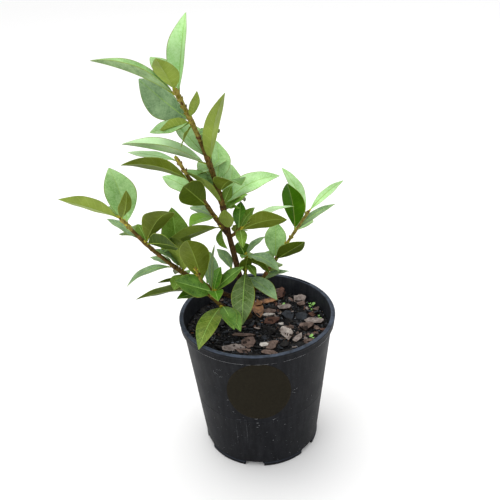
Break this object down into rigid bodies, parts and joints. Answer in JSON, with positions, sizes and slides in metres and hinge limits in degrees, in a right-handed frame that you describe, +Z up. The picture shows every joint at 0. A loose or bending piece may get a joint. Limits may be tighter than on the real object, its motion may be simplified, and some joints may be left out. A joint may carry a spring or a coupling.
{
  "type": "potted asian jasmine",
  "caption": "Young asian jasmine shrub: a slender leaning stem, forked boughs and glossy oval leaves, in bark mix in a round tapered black plastic nursery pot.",
  "frame": {"origin": "middle of the flat underside of the pot", "axes": "+Z up; -Y is the side that the picture was taken from, with the long left shoot towards -X"},
  "size_m": [0.2338, 0.1394, 0.3899],
  "materials": {
    "pot_plastic": "satin black",
    "bark_mix": "rough dark bark chips",
    "stem_bark": "brown bark",
    "leaves": "leathery, softly glossy"
  },
  "bodies": {
    "root": {"pot": "pot_plastic", "potting_mix": "bark_mix", "main_stem": "stem_bark", "left_bough": "stem_bark", "right_bough": "stem_bark", "front_bough": "stem_bark", "foliage_leader": "leaves", "foliage_top": "leaves", "foliage_upper_left": "leaves", "foliage_right_stub": "leaves", "foliage_left": "leaves", "foliage_front": "leaves", "foliage_centre": "leaves", "foliage_spur": "leaves", "foliage_right": "leaves"}
  },
  "joints": []
}
